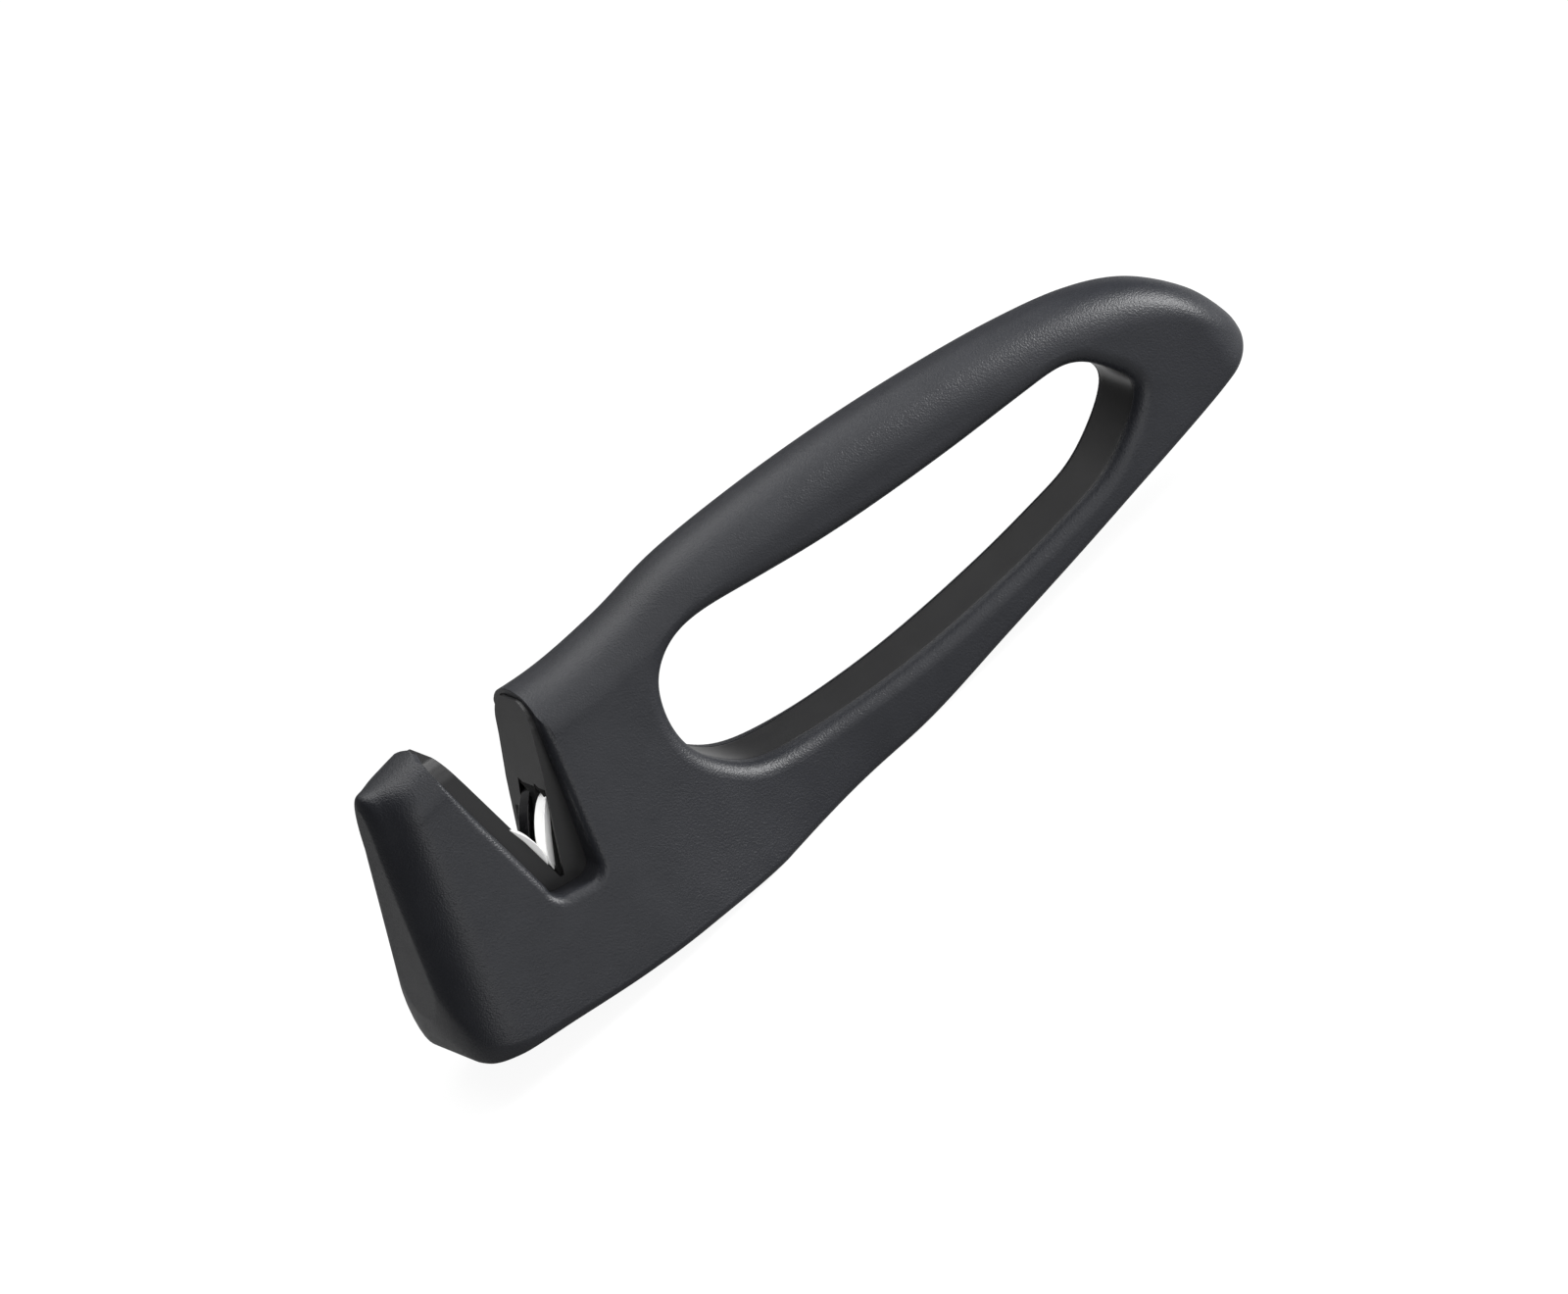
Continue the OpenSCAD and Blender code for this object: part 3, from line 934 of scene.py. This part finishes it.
# %% World
world_level = 0.10
world = bpy.data.worlds.new("studio")
bpy.context.scene.world = world
world.use_nodes = True
background = world.node_tree.nodes["Background"]
set_inputs(background, {"Color": (1, 1, 1, 1)})
path = make_node(world.node_tree, "ShaderNodeLightPath")
level = make_node(world.node_tree, "ShaderNodeMapRange", {"To Min": world_level, "To Max": 1.0})
link(world.node_tree, (path.outputs["Is Camera Ray"], level.inputs["Value"]),
     (level.outputs["Result"], background.inputs["Strength"]))
print("world:", world.name)

# %% [markdown]
# ## The floor
# A real white floor would throw much light up at the black sides. So the floor
# is grey to all rays but the camera's, and to the camera it glows almost white.
# The rest of its white comes from the lamps, which lets the shadow show faintly.

# %% Floor
floor_size, floor_tone, floor_tone_seen, floor_glow = 6.0, 0.35, 0.08, 0.93
bpy.ops.mesh.primitive_plane_add(size=floor_size)
floor = bpy.context.object
floor.name = "floor"
paper = bpy.data.materials.new("white_paper")
paper.use_nodes = True
tree = paper.node_tree
bsdf = tree.nodes["Principled BSDF"]
set_inputs(bsdf, {"Roughness": 0.9, "Specular IOR Level": 0.1,
                  "Emission Color": (1, 1, 1, 1)})
ray = make_node(tree, "ShaderNodeLightPath")
shine = make_node(tree, "ShaderNodeMath", {1: floor_glow}, operation="MULTIPLY")
tone = make_node(tree, "ShaderNodeMix",
                 {"A": (floor_tone,) * 3 + (1,), "B": (floor_tone_seen,) * 3 + (1,)},
                 data_type="RGBA")
link(tree, (ray.outputs["Is Camera Ray"], tone.inputs["Factor"]),
     (tone.outputs["Result"], bsdf.inputs["Base Color"]),
     (ray.outputs["Is Camera Ray"], shine.inputs[0]),
     (shine.outputs[0], bsdf.inputs["Emission Strength"]))
wear_material(floor, paper)
print("floor ready:", floor.name)

# %% [markdown]
# ## Soft studio light
# Large area lamps give a satin surface its broad, soft highlights. Two hang over
# and behind the body for the crown, one stands high in front, and two low ones
# lift the side. The strongest stands off the tail, so that the light grazes
# along the body and leaves the head's end and the slot darker, as they are in
# the photograph. Their strengths were balanced against its tones. Each row has a
# lamp's place and size in metres and its share of the power.

# %% Lamps
lamp_aim, power = (0.0, 0.0, 0.03), 2.7
lamps = {"top_box": ((0.15, 0.10, 0.9), (0.7, 0.5), 1.9),
         "back_box": ((0.1, 0.6, 0.8), (0.8, 0.5), 1.3),
         "front_high_box": ((0.1, -0.55, 0.8), (0.7, 0.5), 0.9),
         "front_box": ((-0.35, -0.95, 0.35), (0.6, 0.6), 1.7),
         "side_box": ((0.45, -0.9, 0.25), (0.8, 0.6), 0.9),
         "tail_box": ((0.9, -0.3, 0.4), (0.4, 0.5), 9.0)}


def lamp(name, place, size, watts):
    data = bpy.data.lights.new(name, "AREA")
    data.shape, data.size, data.size_y, data.energy = "RECTANGLE", *size, watts
    obj = bpy.data.objects.new(name, data)
    bpy.context.scene.collection.objects.link(obj)
    obj.location = place
    obj.rotation_euler = (Vector(lamp_aim) - Vector(place)).to_track_quat("-Z", "Y").to_euler()


for name, (place, size, share) in lamps.items():
    lamp(name, place, size, share * power)
print("lamps:", len(bpy.data.lights))

# %% [markdown]
# ## The camera's direction
# The photograph looks at the front from a little to the head's side and from
# above, and it is rolled so that the handle climbs to the upper right. A last
# small turn about Y brings in how the body sits on its base. The camera's three
# directions are built from those turns.

# %% Camera direction
azimuth, elevation, roll = math.radians(-15), math.radians(20.2), math.radians(31.9)
base_turn = math.radians(4.5)
back = Vector((math.sin(azimuth) * math.cos(elevation),
               -math.cos(azimuth) * math.cos(elevation), math.sin(elevation)))
right = Vector((math.cos(azimuth), math.sin(azimuth), 0))
up = back.cross(right)
roll_turn = Matrix.Rotation(-roll, 3, back)
right, up = roll_turn @ right, roll_turn @ up
tilt = Matrix.Rotation(base_turn, 3, "Y")
right, up, back = tilt @ right, tilt @ up, tilt @ back
print("right", [round(c, 3) for c in right], "up", [round(c, 3) for c in up])

# %% [markdown]
# ## The camera's place
# One place on the head's foot is known in the picture and on the body, and with
# the scale it fixes where the camera points. The camera stands far back with a
# long lens, because the photograph shows almost no perspective.

# %% Camera
pixels_per_mm, picture_width, picture_height = 5.65, 1600, 1320
anchor_px, anchor_mm = (500, 1070), Vector((-92.6, 0.0, 5.1))
distance, far_end, sensor_width = 6.0, 40, 36.0
offset = (right * (picture_width / 2 - anchor_px[0]) / pixels_per_mm
          + up * (anchor_px[1] - picture_height / 2) / pixels_per_mm)
target = (anchor_mm + offset) * MM
camera_data = bpy.data.cameras.new("camera")
camera = bpy.data.objects.new("camera", camera_data)
bpy.context.scene.collection.objects.link(camera)
camera.matrix_world = Matrix.Translation(target + back * distance) @ Matrix(
    (right, up, back)).transposed().to_4x4()
camera_data.sensor_width = sensor_width
camera_data.lens = pixels_per_mm / MM * distance / picture_width * sensor_width
camera_data.clip_end = far_end
bpy.context.scene.camera = camera
bpy.context.scene.view_settings.view_transform = "Standard"
print("lens", round(camera_data.lens, 1), "mm")

# %% [markdown]
# ## The imported model's box
# Last, the box of the imported model is printed in millimetres.

# %% The imported model's box
print("cad", [round(c / MM, 1) for c in (*cad_low, *cad_high)])
